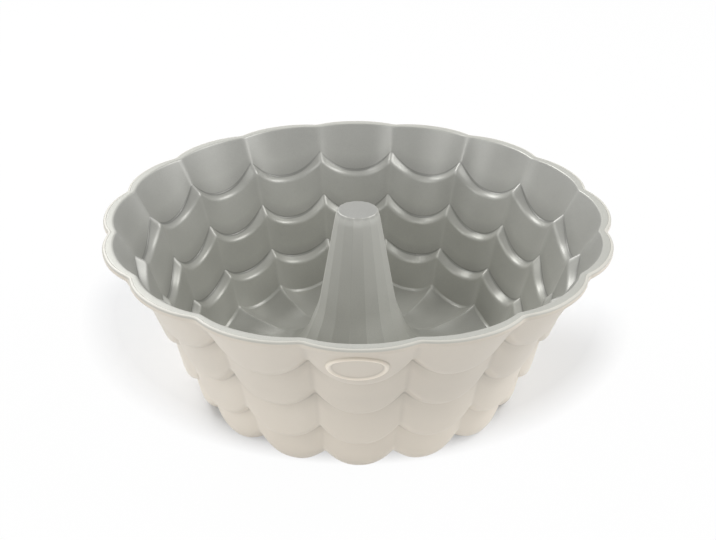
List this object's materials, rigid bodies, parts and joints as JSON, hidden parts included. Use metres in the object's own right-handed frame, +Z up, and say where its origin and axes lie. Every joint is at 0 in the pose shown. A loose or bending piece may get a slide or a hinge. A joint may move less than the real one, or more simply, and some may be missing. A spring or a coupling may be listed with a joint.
{
  "type": "kugelhopf mould",
  "caption": "Cast-aluminium ring cake mould with stepped, scalloped lobes, a flat lipped rim and a closed hollow centre tube, silver-grey inside and cream outside",
  "frame": {"origin": "centre of the mould on the plane that its floor flutes rest on", "axes": "+Z up along the centre tube towards the open rim, +X through the middle of a lobe, +Y through the middle of another lobe"},
  "size_m": [0.25, 0.25, 0.0944],
  "materials": {
    "casting": "cast aluminium, hidden between the two coats",
    "lining": "satin silver-grey baked release coat",
    "enamel": "satin cream baked enamel"
  },
  "bodies": {
    "root": {"cast_body": "casting", "release_lining": "lining", "enamel_coat": "enamel"}
  },
  "joints": []
}
